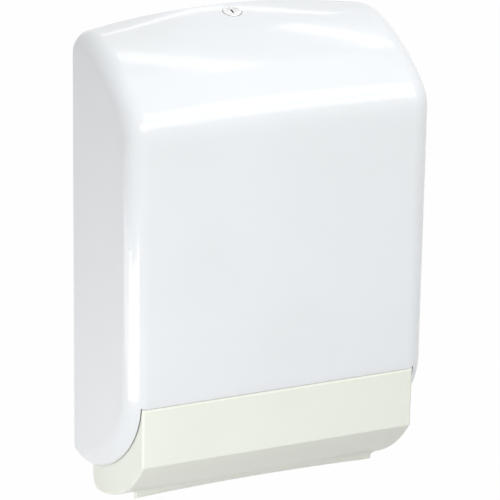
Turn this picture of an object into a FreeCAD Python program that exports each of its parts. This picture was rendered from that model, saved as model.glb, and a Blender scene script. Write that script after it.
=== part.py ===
import FreeCAD, Part
import math
import os

os.makedirs("parts", exist_ok=True)

# Work frame: X right, Y towards the wall, wall face at Y = 0, heights from the seam between
# cover and tray. Every piece is lowered at the end so that the origin is the screw pattern centre.
MOUNT_HEIGHT = 150.0

# Whole size
WIDTH = 275.0
DEPTH = 126.0
WALL_GAP = 1.0
# Longer than any piece, for cutting tools
FAR = 2.0 * WIDTH

# Cover
SKIN = 2.5
SIDE_RADIUS = 17.0
SEAM_GAP = 0.8
CREST = 302.5
SIDE_POLES = [(-DEPTH, CREST - 80.5), (-DEPTH, CREST - 68.5), (-DEPTH - 0.8, CREST - 53.5),
              (-DEPTH + 50.0, CREST - 19.5), (-17.0, CREST), (4.0, CREST - 13.5)]
CROWN = [0.0, 0.0, 2.5, 3.5, 1.0, 17.0]

# Hinge; its end circle is the heel of the cover's wings
HINGE_Y = -12.0
HINGE_Z = -81.0
HINGE_PIN_R = 2.5
HINGE_RUN = 0.05
BUSH_R = 4.5
BUSH_DEPTH = 4.8
LUG_R = 7.5
LUG_WIDTH = 10.0
COVER_BOSS_R = 8.0
HEEL_R = -HINGE_Y - WALL_GAP
WING_SWEEP = [(HINGE_Y, HINGE_Z - HEEL_R), (HINGE_Y - 30.0, HINGE_Z - HEEL_R), (-DEPTH, -43.0), (-DEPTH, 8.0)]

# Tray
CHEEK_INSET = 12.0
TRAY_HALF = WIDTH / 2.0 - CHEEK_INSET
TRAY_WALL = 3.0
TRAY_EDGE = 2.2
TRAY_FRONT = 52.0
TRAY_REAR = -13.0
TRAY_TOP = 4.0
BELLY_MID = (-DEPTH + 42.0, -90.5)
BELLY_END = (TRAY_REAR - 14.0, -112.4)
THROAT_HALF = TRAY_HALF - 21.5
THROAT_FRONT = -DEPTH + 53.0
THROAT_BACK = BELLY_END[0] - 5.0
LIP_HALF = TRAY_HALF - 14.5
LIP_LOW = -99.6
LIP_FOOT = -103.2
LIP_TIP = -DEPTH + 46.5
LIP_ROOT = (-DEPTH + 40.5, -89.6)
LIP_END_R = 3.5
LIP_ARCH_FRONT = 6.2
LIP_ARCH_BACK = 2.5
TAB_HALF = TRAY_HALF - 20.5
TAB_Y = -12.0
TAB_TOP = -15.0
TAB_LOW = -59.0

# Place of the lock on the cover
LOCK_Y = -17.0
LOCK_Z = CREST - 0.5
LOCK_TILT = 13.0

# Back plate, with a narrower foot between the wings
SIDE_ROOM = 8.5
PLATE_HALF = WIDTH / 2.0 - SIDE_ROOM
PLATE = 4.0
PLATE_TOP = LOCK_Z - 26.0
PLATE_CORNER = 6.0
FOOT_TOP = -55.0
FOOT_LOW = HINGE_Z - LUG_R
RIM = 3.0
RIM_DEPTH = 16.0
MOUNT_X = 90.0
MOUNT_Z = 90.0
MOUNT_HOLE_R = 3.0
MOUNT_PAD_R = 9.0
MOUNT_PAD = 2.0
RIB = 3.0
RIB_XS = (-45.0, 0.0, 45.0)
RIB_DEPTH = 12.0
RIB_LOW = 2.0
RIB_TOP = PLATE_TOP - 40.0
TRAY_SCREW_XS = (-90.0, -30.0, 30.0, 90.0)
TRAY_SCREW_Z = -30.0
SCREW_R = 1.95
FIT = 0.05

# Where the cover's hinge pieces stand
LUG_OUT = TRAY_HALF
LUG_IN = LUG_OUT - LUG_WIDTH
MOUTH_HALF = TRAY_HALF + SEAM_GAP + 0.1
COVER_BOSS_IN = MOUTH_HALF

# Stop ribs of the cover
STOP_RIB_X = PLATE_HALF - 29.0
STOP_RIB = 2.5
STOP_RIB_LOW = PLATE_TOP - 26.0
STOP_RIB_LENGTH = 16.0
STOP_GAP = 0.3

# Towel guides
GUIDE_IN = PLATE_HALF - 10.0
GUIDE = 2.0
GUIDE_DEPTH = 100.0
GUIDE_LOW = 6.0
GUIDE_TOP = PLATE_TOP - 61.0
GUIDE_FOOT = 14.0
GUIDE_CLIP_ZS = (GUIDE_LOW + 24.0, GUIDE_TOP - 25.0)
WINDOW_R = 14.0
WINDOW_Y = -55.0
WINDOW_STEP = 50.0

# Bumpers
POST_R = 6.0
POST_Z = PLATE_TOP - 18.0
POST_END = -20.0
PAD = 4.0

# Lock, measured along its own axis from the skin at the lock
LOCK_SEAT = -0.5
BEZEL_R = 8.3
BEZEL = 1.3
BARREL_R = 6.0
BARREL_LOW = -13.0
BOSS_R = 11.0
BOSS_LOW = -5.0
PLUG_R = 4.0
CAM_TOP = -13.5
CAM = 2.0
CAM_REACH = 12.5
CAM_HALF = 4.0
DRIVE = 6.0

# Keeper
KEEPER = 2.0
KEEPER_IN = 7.0
KEEPER_OUT = 30.0
KEEPER_SHELF = LOCK_Z - 32.0
KEEPER_LOW = KEEPER_SHELF - 30.0
KEEPER_SCREW_X = 19.0
KEEPER_SCREW_ZS = (KEEPER_LOW + 7.0, KEEPER_LOW + 22.0)
KEEPER_CLEAR = 0.5


def box(x0, x1, y0, y1, z0, z1):
    return Part.makeBox(x1 - x0, y1 - y0, z1 - z0, FreeCAD.Vector(x0, y0, z0))


def rod(axis, radius, start, end, at):
    """A cylinder along X, Y or Z from start to end; at gives its two other coordinates."""
    if axis == "X":
        base, along = (start, at[0], at[1]), (1, 0, 0)
    elif axis == "Y":
        base, along = (at[0], start, at[1]), (0, 1, 0)
    else:
        base, along = (at[0], at[1], start), (0, 0, 1)
    return Part.makeCylinder(radius, end - start, FreeCAD.Vector(*base), FreeCAD.Vector(*along))


def both(shape):
    """The shape and its mirror image in X, as one."""
    return shape.fuse(shape.mirror(FreeCAD.Vector(0, 0, 0), FreeCAD.Vector(1, 0, 0)))


def mirrored(shape):
    return shape.mirror(FreeCAD.Vector(0, 0, 0), FreeCAD.Vector(1, 0, 0))


def point(x, yz):
    return FreeCAD.Vector(x, yz[0], yz[1])


def line(x, a, b):
    return Part.makeLine(point(x, a), point(x, b))


def arc(x, a, b, c):
    return Part.Arc(point(x, a), point(x, b), point(x, c)).toShape()


def extrude_x(edges, half):
    """A closed outline drawn in the plane X = -half, drawn out to X = +half."""
    face = Part.Face(Part.Wire(Part.__sortEdges__(edges)))
    return face.extrude(FreeCAD.Vector(2.0 * half, 0, 0))


def toward(centre, target, distance):
    """The place at a distance from the centre, in the direction of the target."""
    run = math.hypot(target[0] - centre[0], target[1] - centre[1])
    return (centre[0] + (target[0] - centre[0]) * distance / run,
            centre[1] + (target[1] - centre[1]) * distance / run)


def inset(points, distance):
    """The same open line of poles moved inwards by a wall thickness."""
    moved = []
    for i, p in enumerate(points):
        normals = []
        for a, b in ((i - 1, i), (i, i + 1)):
            if a >= 0 and b < len(points):
                dy = points[b][0] - points[a][0]
                dz = points[b][1] - points[a][1]
                run = math.hypot(dy, dz)
                normals.append((-dz / run, dy / run))
        n0 = normals[0]
        n1 = normals[-1]
        share = 1.0 + n0[0] * n1[0] + n0[1] * n1[1]
        ny = (n0[0] + n1[0]) / share
        nz = (n0[1] + n1[1]) / share
        moved.append((p[0] - distance * ny, p[1] - distance * nz))
    return moved


def crowned_body(half, poles, crown, sweep, radius):
    """A closed body: flat front, curved crowned top, swept foot, flat sides and rounded side edges."""
    front, rear = poles[0], poles[-1]
    heel = (rear[0], sweep[0][1])
    sections = []
    for x, share in ((-half, 0.0), (0.0, 1.0), (half, 0.0)):
        risen = [(y, z + share * rise) for (y, z), rise in zip(poles, crown)]
        curve = Part.BSplineCurve()
        curve.buildFromPolesMultsKnots([point(x, p) for p in risen], [4, 1, 1, 4],
                                       [0.0, 1.0, 2.0, 3.0], False, 3)
        foot = Part.BezierCurve()
        foot.setPoles([point(x, p) for p in sweep])
        sections.append(Part.Wire([line(x, sweep[-1], front), curve.toShape(), line(x, risen[-1], heel),
                                   line(x, heel, sweep[0]), foot.toShape()]))
    body = Part.makeLoft(sections, True, False)
    side_edges = []
    for edge in body.Edges:
        b = edge.BoundBox
        on_side = b.XLength < 1e-3 and abs(abs(b.XMin) - half) < 1e-3
        at_rear = b.YLength < 1e-3 and abs(b.YMin - rear[0]) < 1e-3
        if on_side and not at_rear and b.ZLength > 1e-3:
            side_edges.append(edge)
    return body.makeFillet(radius, side_edges)


def heel_cut():
    """What lies behind and below the hinge, outside the circle that the wings' heels turn in."""
    corner = box(-WIDTH, WIDTH, HINGE_Y, FAR, HINGE_Z - FAR, HINGE_Z)
    return corner.cut(rod("X", HEEL_R, -WIDTH, WIDTH, (HINGE_Y, HINGE_Z)))


def lock_place(shape):
    """Sets a piece drawn about the vertical at the origin onto the lock axis."""
    turned = shape.copy()
    turned.rotate(FreeCAD.Vector(0, 0, 0), FreeCAD.Vector(1, 0, 0), LOCK_TILT)
    turned.translate(FreeCAD.Vector(0, LOCK_Y, LOCK_Z))
    return turned


def swing_radius():
    """Distance from the hinge axis to the outer lower edge of the cover's front."""
    return math.hypot(-DEPTH - HINGE_Y, -HINGE_Z)


def make_cover():
    outer = crowned_body(WIDTH / 2.0, SIDE_POLES, CROWN, WING_SWEEP, SIDE_RADIUS)
    inner = crowned_body(WIDTH / 2.0 - SKIN, inset(SIDE_POLES, SKIN), CROWN, inset(WING_SWEEP, SKIN),
                         SIDE_RADIUS - SKIN)
    keep_out = box(-WIDTH, WIDTH, -WALL_GAP, FAR, -FAR, FAR)
    shell = outer.cut(inner)
    seat_boss = lock_place(rod("Z", BOSS_R, BOSS_LOW, BOSS_R, (0, 0))).common(outer)
    stop = POST_END - PAD - STOP_GAP
    rib = box(STOP_RIB_X - STOP_RIB / 2.0, STOP_RIB_X + STOP_RIB / 2.0, stop - STOP_RIB_LENGTH, stop,
              STOP_RIB_LOW, FAR).common(outer)
    hinge_boss = rod("X", COVER_BOSS_R, COVER_BOSS_IN, WIDTH / 2.0 - SKIN / 2.0, (HINGE_Y, HINGE_Z))
    shell = shell.fuse([seat_boss, both(rib), both(hinge_boss).common(outer)])
    shell = shell.cut(rod("X", swing_radius(), -MOUTH_HALF, MOUTH_HALF, (HINGE_Y, HINGE_Z)))
    shell = shell.cut(box(-MOUTH_HALF, MOUTH_HALF, -FAR, FAR, -FAR, 0.0))
    shell = shell.cut([heel_cut(), keep_out])
    shell = shell.cut(both(rod("X", BUSH_R, LUG_IN, COVER_BOSS_IN + BUSH_DEPTH, (HINGE_Y, HINGE_Z))))
    shell = shell.cut(lock_place(rod("Z", BARREL_R + FIT, 3.0 * BARREL_LOW, BOSS_R, (0, 0))))
    shell = shell.cut(lock_place(rod("Z", BEZEL_R + 0.3, LOCK_SEAT, BOSS_R, (0, 0))))
    return shell.removeSplitter()


def tray_outline(x, wall):
    """Side outline of the tray, moved in by wall; the top stays open above the rim."""
    belly = Part.Arc(point(x, (-DEPTH, -TRAY_FRONT)), point(x, BELLY_MID), point(x, BELLY_END)).toShape().Curve
    centre = (belly.Center.y, belly.Center.z)
    radius = belly.Radius - wall
    front = -DEPTH + wall
    knee = (front, centre[1] - math.sqrt(radius ** 2 - (front - centre[0]) ** 2))
    mid = toward(centre, BELLY_MID, radius)
    end = toward(centre, BELLY_END, radius)
    heel_radius = (TRAY_REAR - BELLY_END[0]) / (1.0 + (centre[0] - BELLY_END[0]) / belly.Radius)
    pivot = toward(BELLY_END, centre, heel_radius)
    bend = toward(pivot, (pivot[0] + 1.0, pivot[1] - 1.0), heel_radius - wall)
    heel = (TRAY_REAR - wall, pivot[1])
    top = TRAY_TOP + 10.0 * wall
    return [line(x, (front, top), knee), arc(x, knee, mid, end), arc(x, end, bend, heel),
            line(x, heel, (heel[0], top)), line(x, (heel[0], top), (front, top))]


def make_lip():
    """The flared front lip of the throat, arched along its lower edge and coved at its ends."""
    back = (THROAT_FRONT, LIP_LOW + 6.0)
    foot = (THROAT_FRONT, LIP_FOOT)
    tip = (LIP_TIP, LIP_LOW)
    root_in = (LIP_ROOT[0] + 2.0, LIP_ROOT[1] + 1.6)
    half = LIP_HALF + LIP_END_R
    x = -half
    lip = extrude_x([arc(x, LIP_ROOT, (LIP_TIP - 1.5, LIP_LOW + 5.9), tip), line(x, tip, foot),
                     line(x, foot, back), line(x, back, root_in), line(x, root_in, LIP_ROOT)], half)
    cove_z = LIP_ROOT[1] - 2.0 * LIP_END_R
    end_cove = both(rod("Y", LIP_END_R, -DEPTH, 0.0, (half, cove_z)))
    end_cove = end_cove.fuse(both(box(LIP_HALF, half + 1.0, -DEPTH, 0.0, LIP_FOOT - 1.0, cove_z)))
    wires = []
    for y in (LIP_TIP - 6.5, THROAT_FRONT + 0.5):
        along = (y - LIP_TIP) / (THROAT_FRONT - LIP_TIP)
        end_z = LIP_LOW + along * (LIP_FOOT - LIP_LOW)
        rise = LIP_ARCH_FRONT + along * (LIP_ARCH_BACK - LIP_ARCH_FRONT)
        ends = [FreeCAD.Vector(s * (LIP_HALF + 1.0), y, end_z) for s in (-1, 1)]
        low = [FreeCAD.Vector(e.x, y, end_z - 20.0) for e in ends]
        top = Part.Arc(ends[0], FreeCAD.Vector(0, y, end_z + rise), ends[1]).toShape()
        wires.append(Part.Wire([top, Part.makeLine(ends[1], low[1]), Part.makeLine(low[1], low[0]),
                                Part.makeLine(low[0], ends[0])]))
    scoop = Part.makeLoft(wires, True, True)
    return lip.cut([end_cove, scoop])


def make_tray():
    outer = extrude_x(tray_outline(-TRAY_HALF, 0.0), TRAY_HALF)
    edges = []
    for edge in outer.Edges:
        b = edge.BoundBox
        upright = b.XLength < 1e-3 and b.YLength < 1e-3 and b.YMin < -DEPTH + 1e-3
        knee = b.XLength > 10.0 and b.YMax < -DEPTH + 1e-3 and b.ZMax < 0.0
        curved = b.XLength < 1e-3 and b.YLength > 20.0 and b.ZMax < 0.0
        if upright or knee or curved:
            edges.append(edge)
    outer = outer.makeFillet(TRAY_EDGE, edges)
    cavity = extrude_x(tray_outline(-TRAY_HALF + TRAY_WALL, TRAY_WALL), TRAY_HALF - TRAY_WALL)
    tray = outer.cut(cavity)
    tray = tray.fuse(make_lip())
    tray = tray.cut(box(-THROAT_HALF, THROAT_HALF, THROAT_FRONT, THROAT_BACK, -FAR, LIP_ROOT[1] + 4.6))
    tray = tray.cut(box(-WIDTH, WIDTH, -FAR, FAR, TRAY_TOP, FAR))
    tray = tray.common(rod("X", swing_radius() - SEAM_GAP, -WIDTH, WIDTH, (HINGE_Y, HINGE_Z)))
    rear = box(-WIDTH, WIDTH, TRAY_REAR - TRAY_WALL - 0.01, FAR, TAB_LOW + TRAY_WALL, FAR)
    cheeks = both(box(TRAY_HALF - TRAY_WALL, TRAY_HALF, 2.0 * TRAY_REAR, TRAY_REAR, TAB_LOW, TRAY_TOP))
    tray = tray.cut(rear).fuse(cheeks)
    shelf = box(-TAB_HALF, TAB_HALF, TRAY_REAR - TRAY_WALL, TAB_Y, TAB_LOW, TAB_LOW + TRAY_WALL)
    tab = box(-TAB_HALF, TAB_HALF, TAB_Y - TRAY_WALL, TAB_Y, TAB_LOW, TAB_TOP)
    tray = tray.fuse([shelf, tab])
    reach = LUG_R + 1.0
    lug_room = box(LUG_IN - 3.0, TRAY_HALF + 1.0, HINGE_Y - reach, 0.0, HINGE_Z - reach, HINGE_Z + reach)
    tray = tray.cut(both(lug_room))
    for x in TRAY_SCREW_XS:
        tray = tray.cut(rod("Y", SCREW_R + 0.15, TAB_Y - 9.0, TAB_Y + 1.0, (x, TRAY_SCREW_Z)))
    return tray.removeSplitter()


def upright_edges(plate):
    return [e for e in plate.Edges if e.BoundBox.XLength < 1e-3 and e.BoundBox.ZLength < 1e-3]


def make_back_plate():
    plate = box(-PLATE_HALF, PLATE_HALF, -PLATE, 0.0, FOOT_TOP, PLATE_TOP)
    foot = box(-LUG_OUT, LUG_OUT, -PLATE, 0.0, FOOT_LOW, FOOT_TOP + PLATE_CORNER)
    foot_corners = [e for e in upright_edges(foot) if e.BoundBox.ZMax < FOOT_LOW + 1.0]
    plate = plate.makeFillet(PLATE_CORNER, upright_edges(plate)).fuse(foot.makeFillet(PLATE_CORNER, foot_corners))
    side_rim = box(PLATE_HALF - RIM, PLATE_HALF, -RIM_DEPTH, -PLATE, 0.0, PLATE_TOP - PLATE_CORNER)
    top_half = PLATE_HALF - PLATE_CORNER
    top_rim = box(-top_half, top_half, -RIM_DEPTH, -PLATE, PLATE_TOP - RIM, PLATE_TOP)
    lug = rod("X", LUG_R, LUG_IN, LUG_OUT, (HINGE_Y, HINGE_Z))
    lug = lug.fuse(box(LUG_IN, LUG_OUT, HINGE_Y, -PLATE, HINGE_Z - LUG_R, HINGE_Z + LUG_R))
    post = rod("Y", POST_R, POST_END, -PLATE, (STOP_RIB_X, POST_Z))
    plate = plate.fuse([both(side_rim), top_rim, both(lug), both(post)])
    ribs = [box(x - RIB / 2.0, x + RIB / 2.0, -RIB_DEPTH, -PLATE, RIB_LOW, RIB_TOP) for x in RIB_XS]
    mount_spots = [(sx * MOUNT_X, MOUNT_HEIGHT + sz * MOUNT_Z) for sx in (-1, 1) for sz in (-1, 1)]
    pads = [rod("Y", MOUNT_PAD_R, -PLATE - MOUNT_PAD, -PLATE, spot) for spot in mount_spots]
    bosses = [rod("Y", 5.0, TAB_Y, -PLATE, (x, TRAY_SCREW_Z)) for x in TRAY_SCREW_XS]
    plate = plate.fuse(ribs + pads + bosses)
    holes = [rod("Y", MOUNT_HOLE_R, -20.0, 5.0, spot) for spot in mount_spots]
    holes += [rod("Y", SCREW_R + FIT, -20.0, -2.0, (x, TRAY_SCREW_Z)) for x in TRAY_SCREW_XS]
    holes += [rod("Y", SCREW_R + FIT, -20.0, -1.0, (KEEPER_SCREW_X, z)) for z in KEEPER_SCREW_ZS]
    holes += [rod("Y", 2.0 + FIT, POST_END - 1.0, POST_END + 6.0, (sx * STOP_RIB_X, POST_Z))
              for sx in (-1, 1)]
    holes += [rod("Y", 2.5 + FIT, -20.0, -1.0, (sx * (GUIDE_IN - 7.0), z))
              for sx in (-1, 1) for z in GUIDE_CLIP_ZS]
    holes.append(both(rod("X", HINGE_PIN_R + FIT, LUG_IN - 1.0, LUG_OUT + 1.0, (HINGE_Y, HINGE_Z))))
    return plate.cut(holes).removeSplitter()


def make_screw(at, face, length):
    """A pan-head screw standing on a face, driven towards the wall."""
    head = rod("Y", 3.8, face - 2.4, face, at)
    head = head.makeFillet(0.9, [e for e in head.Edges if abs(e.BoundBox.YMax - face + 2.4) < 1e-3])
    screw = head.fuse(rod("Y", SCREW_R, face - 0.5, face + length, at))
    for turn in (0.0, 90.0):
        slot = box(-2.2, 2.2, face - 3.0, face - 1.2, -0.45, 0.45)
        slot.rotate(FreeCAD.Vector(0, 0, 0), FreeCAD.Vector(0, 1, 0), turn)
        slot.translate(FreeCAD.Vector(at[0], 0, at[1]))
        screw = screw.cut(slot)
    return screw


def make_guide():
    blade = box(GUIDE_IN, GUIDE_IN + GUIDE, -GUIDE_DEPTH, -PLATE, GUIDE_LOW, GUIDE_TOP)
    tip = [e for e in blade.Edges if e.BoundBox.XLength > 1.0 and e.BoundBox.YMax < -GUIDE_DEPTH + 1e-3]
    blade = blade.makeFillet(12.0, tip)
    foot = box(GUIDE_IN - GUIDE_FOOT, GUIDE_IN + GUIDE, -PLATE - GUIDE, -PLATE, GUIDE_LOW, GUIDE_TOP)
    clips = [rod("Y", 2.5, -PLATE - 1.0, -1.5, (GUIDE_IN - 7.0, z)) for z in GUIDE_CLIP_ZS]
    middle = (GUIDE_LOW + GUIDE_TOP) / 2.0
    windows = [rod("X", WINDOW_R, GUIDE_IN - 1.0, GUIDE_IN + GUIDE + 1.0, (WINDOW_Y, middle + step * WINDOW_STEP))
               for step in (-1, 0, 1)]
    return blade.fuse([foot] + clips).cut(windows)


def make_hinge_pin():
    head = rod("X", 4.0, LUG_IN - 2.0, LUG_IN, (HINGE_Y, HINGE_Z))
    end = COVER_BOSS_IN + BUSH_DEPTH - 0.4
    shank = rod("X", HINGE_PIN_R, LUG_IN - 1.0, end, (HINGE_Y, HINGE_Z))
    tip = [e for e in shank.Edges if abs(e.BoundBox.XMin - end) < 1e-3]
    return head.fuse(shank.makeChamfer(0.5, tip))


def make_bush():
    start = COVER_BOSS_IN
    ring = rod("X", BUSH_R, start, start + BUSH_DEPTH, (HINGE_Y, HINGE_Z))
    return ring.cut(rod("X", HINGE_PIN_R + HINGE_RUN, start - 1.0, start + BUSH_DEPTH + 1.0,
                        (HINGE_Y, HINGE_Z)))


def make_bumper():
    pad = rod("Y", POST_R - 0.5, POST_END - PAD, POST_END, (STOP_RIB_X, POST_Z))
    pad = pad.makeFillet(1.0, [e for e in pad.Edges if abs(e.BoundBox.YMax - POST_END + PAD) < 1e-3])
    return pad.fuse(rod("Y", 2.0, POST_END - 1.0, POST_END + 5.5, (STOP_RIB_X, POST_Z)))


def hexagon(across, z0, z1):
    radius = across / math.sqrt(3.0)
    corners = []
    for i in range(7):
        angle = math.radians(60.0 * i)
        corners.append(FreeCAD.Vector(radius * math.cos(angle), radius * math.sin(angle), z0))
    return Part.Face(Part.makePolygon(corners)).extrude(FreeCAD.Vector(0, 0, z1 - z0))


def ring(outer, bore, z0, z1):
    return rod("Z", outer, z0, z1, (0, 0)).cut(rod("Z", bore, z0 - 1.0, z1 + 1.0, (0, 0)))


def make_lock():
    """The lock pieces about the vertical axis, arm towards the wall; set in place on export."""
    bezel = ring(BEZEL_R, BARREL_R + FIT, LOCK_SEAT, LOCK_SEAT + BEZEL)
    rim = [e for e in bezel.Edges if e.BoundBox.ZMin > LOCK_SEAT + BEZEL - 1e-3
           and e.BoundBox.XLength > 2.0 * BEZEL_R - 1.0]
    bezel = bezel.makeFillet(0.6, rim)
    barrel = ring(BARREL_R, PLUG_R + FIT, BARREL_LOW, LOCK_SEAT + BEZEL - 0.2)
    washer = ring(9.0, BARREL_R + FIT, BOSS_LOW - 1.0, BOSS_LOW)
    nut = hexagon(16.0, BOSS_LOW - 4.0, BOSS_LOW - 1.0)
    nut = nut.cut(rod("Z", BARREL_R + FIT, -40.0, 10.0, (0, 0)))
    plug = rod("Z", PLUG_R, CAM_TOP, LOCK_SEAT + BEZEL - 0.4, (0, 0))
    half = DRIVE / 2.0
    square = box(-half, half, -half, half, CAM_TOP - CAM, CAM_TOP).common(
        rod("Z", PLUG_R - 0.2, CAM_TOP - CAM, CAM_TOP, (0, 0)))
    plug = plug.fuse(square)
    plug = plug.cut(box(-0.8, 0.8, -3.0, 3.0, LOCK_SEAT + BEZEL - 6.0, 5.0))
    plug = plug.cut(rod("Z", 1.5 + FIT, CAM_TOP - CAM - 1.0, CAM_TOP + 6.0, (0, 0)))
    arm = box(-CAM_HALF, CAM_HALF, 0.0, CAM_REACH, CAM_TOP - CAM, CAM_TOP)
    arm = arm.makeFillet(1.5, [e for e in arm.Edges if e.BoundBox.ZLength > 1.0 and e.BoundBox.YMin > 1.0])
    cam = arm.fuse(rod("Z", 6.0, CAM_TOP - CAM, CAM_TOP, (0, 0)))
    socket = box(-half - FIT, half + FIT, -half - FIT, half + FIT, -40.0, 0.0)
    cam = cam.cut(socket.common(rod("Z", PLUG_R - 0.2 + FIT, -40.0, 0.0, (0, 0)))).removeSplitter()
    under = CAM_TOP - CAM
    cam_washer = ring(5.5, 1.5 + FIT, under - 0.8, under)
    cam_screw = rod("Z", 3.0, under - 2.8, under - 0.8, (0, 0))
    cam_screw = cam_screw.fuse(rod("Z", 1.5, under - 1.0, CAM_TOP + 5.0, (0, 0)))
    cam_screw = cam_screw.cut(box(-3.5, 3.5, -0.4, 0.4, under - 3.5, under - 1.8))
    return {"lock_bezel": bezel, "lock_barrel": barrel, "lock_washer": washer, "lock_nut": nut,
            "lock_plug": plug, "lock_cam": cam, "cam_washer": cam_washer, "cam_screw": cam_screw}


def make_keeper():
    lean = math.radians(LOCK_TILT)
    arm = CAM_TOP - CAM / 2.0
    arm_y = LOCK_Y - arm * math.sin(lean)
    arm_z = LOCK_Z + arm * math.cos(lean)
    lip_back = arm_y - CAM_HALF - CAM / 2.0 * math.sin(lean) - KEEPER_CLEAR
    flange = box(KEEPER_IN, KEEPER_OUT, -PLATE - KEEPER, -PLATE, KEEPER_LOW, KEEPER_SHELF + KEEPER)
    shelf = box(KEEPER_IN, KEEPER_OUT, lip_back - KEEPER, -PLATE, KEEPER_SHELF, KEEPER_SHELF + KEEPER)
    lip = box(KEEPER_IN, KEEPER_OUT, lip_back - KEEPER, lip_back, KEEPER_SHELF, arm_z + 2.0)
    top = [e for e in lip.Edges if e.BoundBox.ZMin > arm_z + 1.9 and e.BoundBox.YLength > 1.0]
    lip = lip.makeFillet(3.0, top)
    keeper = flange.fuse([shelf, lip]).removeSplitter()
    for z in KEEPER_SCREW_ZS:
        keeper = keeper.cut(rod("Y", SCREW_R + 0.15, -20.0, 0.0, (KEEPER_SCREW_X, z)))
    return keeper


def export(name, shape):
    placed = shape.copy()
    placed.translate(FreeCAD.Vector(0, 0, -MOUNT_HEIGHT))
    if len(placed.Solids) == 1:
        placed = placed.Solids[0]
    placed.exportStep("parts/" + name + ".step")


def main():
    pieces = {"back_plate": make_back_plate(), "tray": make_tray(), "keeper": make_keeper(),
              "cover": make_cover()}
    for i, x in enumerate(TRAY_SCREW_XS):
        pieces["tray_screw_%d" % (i + 1)] = make_screw((x, TRAY_SCREW_Z), TAB_Y - TRAY_WALL, 12.0)
    for i, z in enumerate(KEEPER_SCREW_ZS):
        pieces["keeper_screw_%d" % (i + 1)] = make_screw((KEEPER_SCREW_X, z), -PLATE - KEEPER, 4.8)
    for name, make in (("towel_guide", make_guide), ("hinge_pin", make_hinge_pin),
                       ("hinge_bush", make_bush), ("bumper", make_bumper)):
        piece = make()
        pieces[name + "_right"] = piece
        pieces[name + "_left"] = mirrored(piece)
    for name, piece in make_lock().items():
        pieces[name] = lock_place(piece)
    for name in sorted(pieces):
        export(name, pieces[name])


main()
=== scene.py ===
import math

import bmesh
import bpy
from mathutils import Matrix, Vector


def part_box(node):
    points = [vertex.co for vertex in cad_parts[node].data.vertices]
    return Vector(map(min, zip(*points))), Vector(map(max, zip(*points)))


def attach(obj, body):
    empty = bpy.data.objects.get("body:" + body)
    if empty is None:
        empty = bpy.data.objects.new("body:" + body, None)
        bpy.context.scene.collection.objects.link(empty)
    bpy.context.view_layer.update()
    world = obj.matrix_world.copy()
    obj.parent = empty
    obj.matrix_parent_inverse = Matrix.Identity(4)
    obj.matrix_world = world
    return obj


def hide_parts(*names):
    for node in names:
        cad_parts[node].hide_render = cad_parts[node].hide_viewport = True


bl_info = {
    "name": "Paper towel dispenser",
    "version": (1, 0, 0),
    "blender": (4, 5, 0),
    "location": "View3D > Sidebar > Dispenser",
    "description": "Dresses a wall-hung folded towel dispenser on its packed frame",
    "category": "Object",
}

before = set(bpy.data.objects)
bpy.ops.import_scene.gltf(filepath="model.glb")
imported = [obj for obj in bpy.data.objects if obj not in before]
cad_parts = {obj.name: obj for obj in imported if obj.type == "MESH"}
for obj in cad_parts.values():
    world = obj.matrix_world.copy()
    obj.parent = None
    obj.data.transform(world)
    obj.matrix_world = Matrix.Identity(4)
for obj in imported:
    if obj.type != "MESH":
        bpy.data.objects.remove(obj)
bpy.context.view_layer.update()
WALL = "wall_unit"

# Painted shade in joints and corners: how far the walls of one are apart, and how open it is with full and
# with no painted shade
JOINT_REACH = 0.004
JOINT_SHUT = 0.2
JOINT_OPEN = 0.75

# Spots on plated metal, as a share of its own colour
SPOT_SHADE = 0.82

# Screws: points round each ring, rings in a turn of the thread, steps from the head's rim to its middle
SCREW_SIDES = 48
RINGS_PER_TURN = 8
HEAD_RINGS = 22

# Radius of a screw's tip as a share of the thread's root, and how narrow the thread's crest is
TIP_SHARE = 0.35
CREST_SLOPE = 3.0

# Height of the head's straight rim as a share of the head, and how soon its rounding levels out
RIM_SHARE = 0.5
ROUNDING = 2.2

# Arms of the cross recess: length and half width as shares of the head's radius
RECESS_REACH = 0.58
RECESS_HALF = 0.13

# Depth of the recess in its middle, and how much it rises to its ends, as shares of the head's height
RECESS_DEPTH = 0.5
RECESS_RISE = 0.18

# The angle from which an edge of a screw stays sharp, and the fewest faces that one screw can have
SHARP_ANGLE = math.radians(38)
FEWEST_FACES = 1000

# Camera: width of its sensor in millimetres and of its picture in pixels, and how far it sees
SENSOR = 36.0
PICTURE = 500.0
SIGHT = 100.0

# How light the floor is for rays that carry light
FLOOR_SHADE = 0.55


def colour(r, g, b):
    """A linear colour from 0 to 255 display values."""
    def linear(v):
        v = v / 255.0
        return v / 12.92 if v <= 0.04045 else ((v + 0.055) / 1.055) ** 2.4
    return (linear(r), linear(g), linear(b), 1.0)


# Shader building

class Wire:
    """A socket of a node tree that can be used in Python sums like a number."""

    def __init__(self, nodes, socket):
        self.nodes = nodes
        self.socket = socket

    def _with(self, operation, other, swap=False):
        pair = (other, self) if swap else (self, other)
        return self.nodes.node("ShaderNodeMath", {"operation": operation}, {0: pair[0], 1: pair[1]})

    def __add__(self, other):
        return self._with("ADD", other)

    def __radd__(self, other):
        return self._with("ADD", other, True)

    def __sub__(self, other):
        return self._with("SUBTRACT", other)

    def __rsub__(self, other):
        return self._with("SUBTRACT", other, True)

    def __mul__(self, other):
        return self._with("MULTIPLY", other)

    def __rmul__(self, other):
        return self._with("MULTIPLY", other, True)

    def clamp(self):
        return self.nodes.node("ShaderNodeClamp", {}, {"Value": self, "Min": 0.0, "Max": 1.0})

    def band(self, low, high):
        """0 below low, 1 above high, smooth between."""
        return self.nodes.node("ShaderNodeMapRange", {"interpolation_type": "SMOOTHSTEP"},
                               {"Value": self, "From Min": low, "From Max": high})

    def swing(self, size):
        """A value of 0 to 1 as a swing of this size around 0."""
        return (self - 0.5) * size


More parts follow.
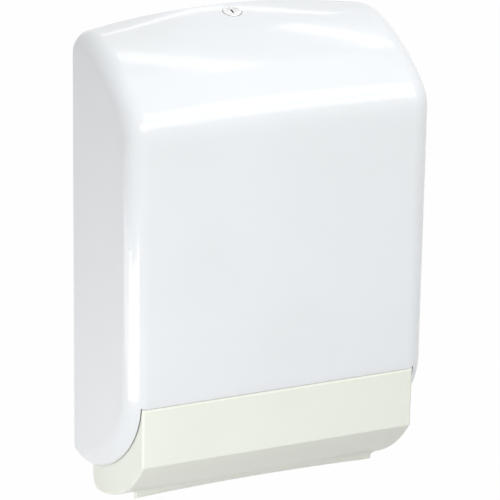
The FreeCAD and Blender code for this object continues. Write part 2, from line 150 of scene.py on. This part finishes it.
class Nodes:
    """Builds a node tree, one node at a time."""

    def __init__(self, tree, output):
        self.tree = tree
        self.tree.nodes.clear()
        self.output = self.tree.nodes.new(output)

    def feed(self, socket, value):
        if isinstance(value, Wire):
            self.tree.links.new(value.socket, socket)
        else:
            socket.default_value = value

    def node(self, kind, settings, inputs, out=0):
        made = self.tree.nodes.new(kind)
        for key, value in settings.items():
            setattr(made, key, value)
        for key, value in inputs.items():
            self.feed(made.inputs[key], value)
        return Wire(self, made.outputs[out])

    def background_rays(self):
        """1 for rays that should see the white background, 0 for rays that carry light."""
        rays = [self.node("ShaderNodeLightPath", {}, {}, "Is %s Ray" % kind)
                for kind in ("Camera", "Glossy", "Transmission")]
        return (rays[0] + rays[1] + rays[2]).clamp()

    def show(self, shader):
        self.tree.links.new(shader.socket, self.output.inputs[0])


class Finish(Nodes):
    """A procedural material with one principled shader."""

    def __init__(self, name):
        self.material = bpy.data.materials.new(name)
        self.material.use_nodes = True
        super().__init__(self.material.node_tree, "ShaderNodeOutputMaterial")
        self.bsdf = self.tree.nodes.new("ShaderNodeBsdfPrincipled")
        self.show(Wire(self, self.bsdf.outputs[0]))

    def place(self):
        return self.node("ShaderNodeTexCoord", {}, {}, "Object")

    def stretched(self, x, y, z):
        return self.node("ShaderNodeMapping", {}, {"Vector": self.place(), "Scale": (x, y, z)})

    def noise(self, per_metre, detail, roughness=0.5, vector=None):
        return self.node("ShaderNodeTexNoise", {"noise_dimensions": "3D"},
                         {"Vector": vector or self.place(), "Scale": per_metre, "Detail": detail,
                          "Roughness": roughness}, "Fac")

    def mix(self, share, first, second):
        """The first colour where share is 0 and the second where it is 1."""
        return self.node("ShaderNodeMix", {"data_type": "RGBA"}, {0: share, 6: first, 7: second}, 2)

    def bump(self, height, depth, strength):
        return self.node("ShaderNodeBump", {}, {"Height": height, "Distance": depth, "Strength": strength},
                         "Normal")

    def painted_joint_shade(self, shade, shadow):
        """The shade, with a painted shade colour in narrow joints and corners."""
        # Ambient occlusion paints shade into the base colour where walls stand close
        openness = self.node("ShaderNodeAmbientOcclusion", {"samples": 8}, {"Distance": JOINT_REACH}, "AO")
        return self.mix(openness.band(JOINT_SHUT, JOINT_OPEN), shadow, shade)

    def set(self, **sockets):
        for key, value in sockets.items():
            self.feed(self.bsdf.inputs[key.replace("_", " ").title()], value)
        return self.material


def gloss_white(look):
    """Polished white moulding: slight orange peel, fine wiping marks and painted shade in its joints."""
    f = Finish("gloss_white_moulding")
    cloud = f.noise(per_metre=9.0, detail=2.0)
    peel = f.noise(per_metre=420.0, detail=2.0, roughness=0.4)
    wiped = f.noise(per_metre=60.0, detail=4.0, roughness=0.6, vector=f.stretched(1.0, 1.0, 0.12))
    shade = f.mix(cloud.band(0.35, 0.65), look.white, look.white_warm)
    haze = wiped.band(0.4, 0.8) * 0.035
    # The base colour has painted shade in its narrow joints and corners
    return f.set(base_color=f.painted_joint_shade(shade, look.joint_shadow), roughness=look.gloss + haze,
                 coat_weight=0.25, coat_roughness=0.05,
                 normal=f.bump(peel, depth=0.00004, strength=0.35))


def satin_ivory(look):
    """Fine spark-eroded ivory moulding, unevenly worn, with painted shade in its joints."""
    f = Finish("satin_ivory_moulding")
    cloud = f.noise(per_metre=11.0, detail=2.0)
    grain = f.noise(per_metre=2600.0, detail=2.0, roughness=0.6)
    wear = f.noise(per_metre=90.0, detail=5.0, roughness=0.65)
    shade = f.mix(cloud.band(0.35, 0.65), look.ivory, look.ivory_deep)
    # The base colour has painted shade in its narrow joints and corners
    return f.set(base_color=f.painted_joint_shade(shade, look.joint_shadow),
                 roughness=look.satin + wear.swing(0.10) + grain.swing(0.05),
                 normal=f.bump(grain, depth=0.00005, strength=0.5))


def plain_moulding(name, light, deep, rough):
    """Inside moulding with a soft sink pattern and fine grain."""
    f = Finish(name)
    cloud = f.noise(per_metre=14.0, detail=3.0)
    grain = f.noise(per_metre=1900.0, detail=2.0, roughness=0.6)
    return f.set(base_color=f.mix(cloud.band(0.3, 0.7), light, deep), roughness=rough + grain.swing(0.12),
                 normal=f.bump(grain, depth=0.00006, strength=0.5))


def bright_metal(name, tint, rough):
    """Plated metal with a fine even grain and slightly darker spots."""
    f = Finish(name)
    grain = f.noise(per_metre=900.0, detail=3.0, roughness=0.6)
    spots = f.noise(per_metre=350.0, detail=4.0, roughness=0.6)
    spotted = tuple(SPOT_SHADE * v for v in tint[:3]) + (1.0,)
    return f.set(base_color=f.mix(spots.band(0.45, 0.75), tint, spotted), metallic=1.0,
                 roughness=rough + grain.swing(0.12), normal=f.bump(grain, depth=0.00002, strength=0.4))


def black_rubber(look):
    """Matt rubber with a coarse grain."""
    f = Finish("pad_rubber")
    grain = f.noise(per_metre=1500.0, detail=3.0, roughness=0.7)
    return f.set(base_color=f.mix(grain, look.rubber, look.rubber_worn), roughness=0.75 + grain.swing(0.2),
                 normal=f.bump(grain, depth=0.0001, strength=0.6))


def dress(names, material):
    """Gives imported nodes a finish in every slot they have."""
    for name in names:
        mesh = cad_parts[name].data
        if not mesh.materials:
            mesh.materials.append(material)
        for i in range(len(mesh.materials)):
            mesh.materials[i] = material


# Settings

class CoverSettings(bpy.types.PropertyGroup):
    """Colours and gloss of the white cover."""
    white: bpy.props.FloatVectorProperty(name="White", description="Main colour of the cover",
                                         subtype="COLOR", size=4, default=colour(240, 243, 246))
    white_warm: bpy.props.FloatVectorProperty(name="White variation",
                                              description="Second white of the cover",
                                              subtype="COLOR", size=4, default=colour(238, 241, 243))
    # Colour of the shade painted into the cover's narrow joints
    joint_shadow: bpy.props.FloatVectorProperty(name="Joint dirt", description="Colour deep in the cover's joints",
                                         subtype="COLOR", size=4, default=colour(150, 152, 154))
    gloss: bpy.props.FloatProperty(name="Roughness", description="Roughness of the polished cover",
                                   default=0.12, min=0.02, max=1.0, subtype="FACTOR")


class TraySettings(bpy.types.PropertyGroup):
    """Colours and gloss of the ivory tray."""
    ivory: bpy.props.FloatVectorProperty(name="Ivory", description="Main colour of the tray",
                                         subtype="COLOR", size=4, default=colour(244, 247, 236))
    ivory_deep: bpy.props.FloatVectorProperty(name="Ivory variation",
                                              description="Second colour of the tray",
                                              subtype="COLOR", size=4, default=colour(242, 245, 233))
    # Colour of the shade painted into the tray's narrow joints
    joint_shadow: bpy.props.FloatVectorProperty(name="Joint dirt", description="Colour deep in the tray's joints",
                                         subtype="COLOR", size=4, default=colour(150, 150, 136))
    satin: bpy.props.FloatProperty(name="Roughness", description="Roughness of the satin tray",
                                   default=0.38, min=0.05, max=1.0, subtype="FACTOR")


class InsideSettings(bpy.types.PropertyGroup):
    """Colours of the pieces inside."""
    plate: bpy.props.FloatVectorProperty(name="Back plate", description="Main colour of the back plate",
                                         subtype="COLOR", size=4, default=colour(232, 234, 222))
    plate_deep: bpy.props.FloatVectorProperty(name="Back plate variation",
                                              description="Second colour of the back plate",
                                              subtype="COLOR", size=4, default=colour(227, 230, 216))
    guide: bpy.props.FloatVectorProperty(name="Towel guides", description="Main colour of the towel guides",
                                         subtype="COLOR", size=4, default=colour(214, 216, 214))
    guide_deep: bpy.props.FloatVectorProperty(name="Towel guide variation",
                                              description="Second colour of the towel guides",
                                              subtype="COLOR", size=4, default=colour(206, 209, 207))
    bush: bpy.props.FloatVectorProperty(name="Hinge bushes", description="Main colour of the hinge bushes",
                                        subtype="COLOR", size=4, default=colour(240, 240, 236))
    bush_deep: bpy.props.FloatVectorProperty(name="Hinge bush variation",
                                             description="Second colour of the hinge bushes",
                                             subtype="COLOR", size=4, default=colour(232, 232, 228))
    rubber: bpy.props.FloatVectorProperty(name="Pads", description="Darker colour of the rubber pads",
                                          subtype="COLOR", size=4, default=(0.012, 0.012, 0.013, 1.0))
    rubber_worn: bpy.props.FloatVectorProperty(name="Worn pads",
                                               description="Lighter colour of the rubber pads",
                                               subtype="COLOR", size=4, default=(0.03, 0.03, 0.032, 1.0))
    zinc: bpy.props.FloatVectorProperty(name="Zinc", description="Colour of the keeper and the hinge pins",
                                        subtype="COLOR", size=4, default=(0.62, 0.63, 0.64, 1.0))


class ScrewSettings(bpy.types.PropertyGroup):
    """Sizes and colour of the pan-head screws."""
    head_radius: bpy.props.FloatProperty(name="Head radius", description="Outer radius of the head",
                                         default=0.0038, unit="LENGTH", precision=4)
    head_height: bpy.props.FloatProperty(name="Head height", description="From the seat to the head's top",
                                         default=0.0024, unit="LENGTH", precision=4)
    thread_radius: bpy.props.FloatProperty(name="Thread radius", description="Outer radius of the thread",
                                           default=0.00193, unit="LENGTH", precision=4)
    thread_depth: bpy.props.FloatProperty(name="Thread depth", description="From crest to root",
                                          default=0.0004, unit="LENGTH", precision=4)
    pitch: bpy.props.FloatProperty(name="Pitch", description="Rise of the thread in one turn",
                                   default=0.0015, unit="LENGTH", precision=4)
    seed: bpy.props.IntProperty(name="Seed", description="Seed for how far each screw is turned", default=4)
    zinc: bpy.props.FloatVectorProperty(name="Zinc", description="Colour of the screws",
                                        subtype="COLOR", size=4, default=(0.66, 0.67, 0.68, 1.0))


class LockSettings(bpy.types.PropertyGroup):
    """Colours of the cam lock."""
    plating: bpy.props.FloatVectorProperty(name="Plating",
                                           description="Colour of the bezel, barrel and plug",
                                           subtype="COLOR", size=4, default=(0.72, 0.72, 0.72, 1.0))
    zinc: bpy.props.FloatVectorProperty(name="Zinc",
                                        description="Colour of the arm, the nut, the washers and the screw",
                                        subtype="COLOR", size=4, default=(0.6, 0.61, 0.62, 1.0))


class StageSettings(bpy.types.PropertyGroup):
    """Floor, lamps and camera."""
    floor_height: bpy.props.FloatProperty(name="Floor height", description="Height of the floor",
                                          default=-0.42, unit="LENGTH")
    floor_size: bpy.props.FloatProperty(name="Floor size", description="Half the side of the floor",
                                        default=14.0, unit="LENGTH")
    floor_white: bpy.props.FloatProperty(name="Floor white",
                                         description="How much of the floor is plain white in view",
                                         default=0.985, min=0.0, max=1.0, subtype="FACTOR")
    room_light: bpy.props.FloatProperty(name="Room light",
                                        description="Strength of the light from all round",
                                        default=0.405, min=0.0)
    focal_pixels: bpy.props.FloatProperty(name="Focal length in pixels",
                                          description="For a 500 pixel picture", default=3122.2)
    turn: bpy.props.FloatProperty(name="Camera turn", description="Turn of the view towards the right",
                                  default=math.radians(24.67), subtype="ANGLE")
    dip: bpy.props.FloatProperty(name="Camera dip", description="How far the view looks down",
                                 default=math.radians(19.67), subtype="ANGLE")
    roll: bpy.props.FloatProperty(name="Camera roll", description="Roll of the camera",
                                  default=math.radians(0.909), subtype="ANGLE")
    distance: bpy.props.FloatProperty(name="Camera distance", description="From the point looked at",
                                      default=2.655, unit="LENGTH")
    target: bpy.props.FloatVectorProperty(name="Point looked at", description="Centre of the view",
                                          subtype="TRANSLATION", default=(0.000245, -0.060, -0.046648))


# Pieces

class DISPENSER_OT_cover(bpy.types.Operator):
    """Give the white cover its polished finish"""
    bl_idname = "dispenser.cover"
    bl_label = "Cover"

    def execute(self, context):
        dress(["cover"], gloss_white(context.scene.dispenser_cover))
        return {"FINISHED"}


class DISPENSER_OT_tray(bpy.types.Operator):
    """Give the tray its satin ivory finish"""
    bl_idname = "dispenser.tray"
    bl_label = "Tray"

    def execute(self, context):
        dress(["tray"], satin_ivory(context.scene.dispenser_tray))
        return {"FINISHED"}


class DISPENSER_OT_inside(bpy.types.Operator):
    """Finish the back plate, guides, bushes, pads, keeper and hinge pins"""
    bl_idname = "dispenser.inside"
    bl_label = "Inside"

    def execute(self, context):
        look = context.scene.dispenser_inside
        dress(["back_plate"], plain_moulding("plate_moulding", look.plate, look.plate_deep, rough=0.45))
        dress(["towel_guide_left", "towel_guide_right"],
              plain_moulding("guide_moulding", look.guide, look.guide_deep, rough=0.42))
        dress(["hinge_bush_left", "hinge_bush_right"],
              plain_moulding("bush_acetal", look.bush, look.bush_deep, rough=0.35))
        dress(["bumper_left", "bumper_right"], black_rubber(look))
        dress(["keeper", "hinge_pin_left", "hinge_pin_right"],
              bright_metal("zinc_plate", look.zinc, rough=0.34))
        return {"FINISHED"}


def screw_rings(look, length):
    """Radius, height and part of each ring of a screw, from its tip to near the middle of its head."""
    root = look.thread_radius - look.thread_depth
    steps = int(length / (look.pitch / RINGS_PER_TURN))
    rings = [(root * TIP_SHARE, 0.0, "tip")]
    rings += [(root, length * (i + 1) / (steps + 1), "thread") for i in range(steps)]
    rings += [(root, length, "neck"), (look.head_radius, length, "seat")]
    rings.append((look.head_radius, length + look.head_height * RIM_SHARE, "rim"))
    for i in range(1, HEAD_RINGS):
        share = i / HEAD_RINGS
        rounding = math.sin(math.pi / 2 * min(1.0, share * ROUNDING))
        lift = look.head_height * (RIM_SHARE + (1 - RIM_SHARE) * rounding)
        rings.append((look.head_radius * (1 - share), length + lift, "top"))
    return rings


def recess_depth(x, y, look):
    """Depth of the cross recess at a point of the head."""
    reach = look.head_radius * RECESS_REACH
    half = look.head_radius * RECESS_HALF
    across = min(abs(x), abs(y))
    along = max(abs(x), abs(y))
    if across > half or along > reach:
        return 0.0
    return look.head_height * (RECESS_DEPTH - RECESS_RISE * along / reach)


def make_screw_mesh(name, look, length):
    """One screw that lies along Y: tip at +length, seat at 0, head towards -Y."""
    sides = SCREW_SIDES
    verts = []
    for radius, height, part in screw_rings(look, length):
        for i in range(sides):
            turn = 2 * math.pi * i / sides
            r = radius
            if part == "thread":
                ramp = (height / look.pitch - i / sides) % 1.0
                r += look.thread_depth * max(0.0, 1.0 - abs(ramp - 0.5) * CREST_SLOPE)
            x = r * math.cos(turn)
            z = r * math.sin(turn)
            deep = recess_depth(x, z, look) if part == "top" else 0.0
            verts.append((x, length - height + deep, z))
    rings = len(verts) // sides
    faces = []
    for k in range(rings - 1):
        for i in range(sides):
            j = (i + 1) % sides
            faces.append((k * sides + i, k * sides + j, (k + 1) * sides + j, (k + 1) * sides + i))
    faces.append(tuple(range(sides))[::-1])
    faces.append(tuple((rings - 1) * sides + i for i in range(sides)))
    mesh = bpy.data.meshes.new(name)
    mesh.from_pydata(verts, [], faces)
    work = bmesh.new()
    work.from_mesh(mesh)
    bmesh.ops.recalc_face_normals(work, faces=work.faces)
    work.to_mesh(mesh)
    work.free()
    mesh.shade_smooth()
    mesh.set_sharp_from_angle(angle=SHARP_ANGLE)
    return mesh


def screw_tree():
    """Puts a screw on every point, each turned by its own amount."""
    tree = bpy.data.node_groups.new("screws_on_points", "GeometryNodeTree")
    for name, kind in (("Places", "Geometry"), ("Screw", "Object"), ("Seed", "Int"), ("Finish", "Material")):
        tree.interface.new_socket(name, in_out="INPUT", socket_type="NodeSocket" + kind)
    tree.interface.new_socket("Screws", in_out="OUTPUT", socket_type="NodeSocketGeometry")
    n = Nodes(tree, "NodeGroupOutput")
    given = tree.nodes.new("NodeGroupInput").outputs
    turn = n.node("FunctionNodeRandomValue", {"data_type": "FLOAT"},
                  {2: 0.0, 3: math.pi, "Seed": Wire(n, given["Seed"])}, 1)
    turned = n.node("FunctionNodeEulerToRotation", {},
                    {0: n.node("ShaderNodeCombineXYZ", {}, {1: turn})})
    screw = n.node("GeometryNodeObjectInfo", {"transform_space": "ORIGINAL"},
                   {"Object": Wire(n, given["Screw"])}, "Geometry")
    placed = n.node("GeometryNodeInstanceOnPoints", {},
                    {"Points": Wire(n, given["Places"]), "Instance": screw, "Rotation": turned})
    real = n.node("GeometryNodeRealizeInstances", {}, {0: placed})
    n.show(n.node("GeometryNodeSetMaterial", {}, {0: real, "Material": Wire(n, given["Finish"])}))
    return tree


def set_screws(name, nodes, seat, length, look, finish):
    """One plain mesh with a screw in the place of each node."""
    scene = bpy.context.scene
    template = bpy.data.objects.new(name + "_template", make_screw_mesh(name + "_template", look, length))
    spots = []
    for node in nodes:
        low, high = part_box(node)
        spots.append(((low[0] + high[0]) / 2, seat, (low[2] + high[2]) / 2))
    places = bpy.data.meshes.new(name)
    places.from_pydata(spots, [], [])
    holder = bpy.data.objects.new(name + "_places", places)
    scene.collection.objects.link(template)
    scene.collection.objects.link(holder)
    modifier = holder.modifiers.new("screws", "NODES")
    modifier.node_group = screw_tree()
    values = {"Screw": template, "Seed": look.seed, "Finish": finish}
    for item in modifier.node_group.interface.items_tree:
        if item.name in values:
            modifier[item.identifier] = values[item.name]
    bpy.context.view_layer.update()
    ready = holder.evaluated_get(bpy.context.evaluated_depsgraph_get())
    piece = bpy.data.objects.new(name, bpy.data.meshes.new_from_object(ready))
    holder.modifiers.remove(modifier)
    scene.collection.objects.link(piece)
    bpy.data.objects.remove(holder)
    bpy.data.objects.remove(template)
    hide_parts(*nodes)
    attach(piece, WALL)
    return piece


class DISPENSER_OT_screws(bpy.types.Operator):
    """Set the threaded pan-head screws of the tray and of the keeper"""
    bl_idname = "dispenser.screws"
    bl_label = "Screws"

    def execute(self, context):
        look = context.scene.dispenser_screws
        finish = bright_metal("screw_zinc", look.zinc, rough=0.3)
        for name, nodes in (("tray_screws", ["tray_screw_%d" % i for i in range(1, 5)]),
                            ("keeper_screws", ["keeper_screw_1", "keeper_screw_2"])):
            low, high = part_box(nodes[0])
            seat = low[1] + look.head_height
            piece = set_screws(name, nodes, seat, high[1] - seat, look, finish)
            if len(piece.data.polygons) < FEWEST_FACES * len(nodes):
                raise RuntimeError("%s has too few faces to hold all its screws" % name)
        return {"FINISHED"}


class DISPENSER_OT_lock(bpy.types.Operator):
    """Finish the cam lock"""
    bl_idname = "dispenser.lock"
    bl_label = "Lock"

    def execute(self, context):
        look = context.scene.dispenser_lock
        dress(["lock_bezel", "lock_barrel", "lock_plug"],
              bright_metal("lock_plating", look.plating, rough=0.2))
        dress(["lock_washer", "lock_nut", "lock_cam", "cam_washer", "cam_screw"],
              bright_metal("lock_zinc", look.zinc, rough=0.36))
        return {"FINISHED"}


# Stage

def lamp(name, start, end, width, aim, power):
    """A soft rectangular lamp from start to end, turned to face the point it is aimed at."""
    start, end = Vector(start), Vector(end)
    middle = (start + end) / 2
    along = (end - start).normalized()
    back = middle - Vector(aim)
    back = (back - back.project(along)).normalized()
    data = bpy.data.lights.new(name, "AREA")
    data.shape = "RECTANGLE"
    data.size = (end - start).length
    data.size_y = width
    data.energy = power
    holder = bpy.data.objects.new(name, data)
    bpy.context.scene.collection.objects.link(holder)
    turned = Matrix((along, back.cross(along), back)).transposed().to_4x4()
    holder.matrix_world = Matrix.Translation(middle) @ turned


class DISPENSER_OT_stage(bpy.types.Operator):
    """Set the floor, the soft lamps, the world and the camera"""
    bl_idname = "dispenser.stage"
    bl_label = "Stage"

    def execute(self, context):
        stage = context.scene.dispenser_stage
        context.scene.view_settings.view_transform = "Standard"
        self.make_floor(context, stage)
        self.make_world(context, stage)
        self.make_lamps()
        self.make_camera(context, stage)
        return {"FINISHED"}

    def make_floor(self, context, stage):
        half = stage.floor_size
        z = stage.floor_height
        mesh = bpy.data.meshes.new("floor")
        mesh.from_pydata([(-half, -half, z), (half, -half, z), (half, half, z), (-half, half, z)], [],
                         [(0, 1, 2, 3)])
        floor = bpy.data.objects.new("floor", mesh)
        context.scene.collection.objects.link(floor)
        f = Finish("floor_white")
        f.set(base_color=(FLOOR_SHADE, FLOOR_SHADE, FLOOR_SHADE, 1.0), roughness=0.9)
        glow = f.node("ShaderNodeEmission", {}, {"Color": (1, 1, 1, 1), "Strength": 1.0})
        f.show(f.node("ShaderNodeMixShader", {}, {0: f.background_rays() * stage.floor_white,
                                                  1: Wire(f, f.bsdf.outputs[0]), 2: glow}))
        mesh.materials.append(f.material)

    def make_world(self, context, stage):
        world = bpy.data.worlds.new("studio")
        world.use_nodes = True
        context.scene.world = world
        w = Nodes(world.node_tree, "ShaderNodeOutputWorld")
        soft = w.node("ShaderNodeBackground", {}, {"Color": (1, 1, 1, 1), "Strength": stage.room_light})
        white = w.node("ShaderNodeBackground", {}, {"Color": (1, 1, 1, 1), "Strength": 1.0})
        w.show(w.node("ShaderNodeMixShader", {}, {0: w.background_rays(), 1: soft, 2: white}))

    def make_lamps(self):
        """Boxes over the front, tubes that draw the streaks on the slope, and low strips at the left."""
        body = (0.0, -0.06, -0.05)
        top = (0.0, -0.07, 0.13)
        high = 1.2
        low = -0.335
        lamp("front_high", (-0.7, -1.6, high), (0.5, -1.6, high), 0.8, body, 13.8)
        lamp("front_box", (0.45, -0.5, high), (0.68, -1.5, high), 0.85, top, 3.6)
        lamp("overhead", (-0.8, -0.3, 1.3), (0.8, -0.3, 1.3), 1.2, top, 3.0)
        lamp("right_high", (0.4, -1.4, 0.95), (1.2, -1.2, 0.95), 0.4, body, 1.6)
        lamp("tube_left", (0.25, 0.62, high), (0.44, 0.16, high), 0.08, top, 0.22)
        lamp("tube_right", (0.65, 0.75, high), (0.735, 0.28, high), 0.05, top, 0.16)
        lamp("tube_back", (0.36, 1.72, high), (0.86, 1.07, high), 0.08, top, 0.35)
        lamp("tube_side", (-1.0, 0.34, high), (-0.69, -0.29, high), 0.18, top, 0.3)
        lamp("low_side", (-0.85, 0.45, low), (-0.85, -0.08, low), 0.16, (-0.13, -0.1, -0.33), 0.4)
        lamp("low_corner", (-0.85, -0.12, low), (-0.5, -0.75, low), 0.16, (-0.13, -0.12, -0.33), 2.0)

    def make_camera(self, context, stage):
        s, c = math.sin(stage.turn), math.cos(stage.turn)
        ahead = Vector((s * math.cos(stage.dip), c * math.cos(stage.dip), -math.sin(stage.dip)))
        right = Vector((c, -s, 0.0))
        up = right.cross(ahead)
        rolled_right = right * math.cos(stage.roll) + up * math.sin(stage.roll)
        rolled_up = up * math.cos(stage.roll) - right * math.sin(stage.roll)
        data = bpy.data.cameras.new("camera")
        data.sensor_width = SENSOR
        data.lens = SENSOR * stage.focal_pixels / PICTURE
        data.clip_end = SIGHT
        camera = bpy.data.objects.new("camera", data)
        context.scene.collection.objects.link(camera)
        spot = Vector(stage.target) - ahead * stage.distance
        turned = Matrix((rolled_right, rolled_up, -ahead)).transposed().to_4x4()
        camera.matrix_world = Matrix.Translation(spot) @ turned
        context.scene.camera = camera


class DISPENSER_PT_panel(bpy.types.Panel):
    """Lists the steps that dress the dispenser"""
    bl_idname = "DISPENSER_PT_panel"
    bl_label = "Towel dispenser"
    bl_space_type = "VIEW_3D"
    bl_region_type = "UI"
    bl_category = "Dispenser"

    def draw(self, context):
        column = self.layout.column()
        for step in STEPS:
            column.operator(step.bl_idname)


SETTINGS = {"dispenser_cover": CoverSettings, "dispenser_tray": TraySettings,
            "dispenser_inside": InsideSettings, "dispenser_screws": ScrewSettings,
            "dispenser_lock": LockSettings, "dispenser_stage": StageSettings}
STEPS = (DISPENSER_OT_stage, DISPENSER_OT_cover, DISPENSER_OT_tray, DISPENSER_OT_inside,
         DISPENSER_OT_screws, DISPENSER_OT_lock)
CLASSES = tuple(SETTINGS.values()) + STEPS + (DISPENSER_PT_panel,)


def register():
    for cls in CLASSES:
        bpy.utils.register_class(cls)
    for name, kind in SETTINGS.items():
        setattr(bpy.types.Scene, name, bpy.props.PointerProperty(type=kind))


def unregister():
    for name in SETTINGS:
        delattr(bpy.types.Scene, name)
    for cls in reversed(CLASSES):
        bpy.utils.unregister_class(cls)


def main():
    register()
    for step in STEPS:
        name = step.bl_idname.split(".")[1]
        getattr(bpy.ops.dispenser, name)()


if __name__ == "__main__":
    main()
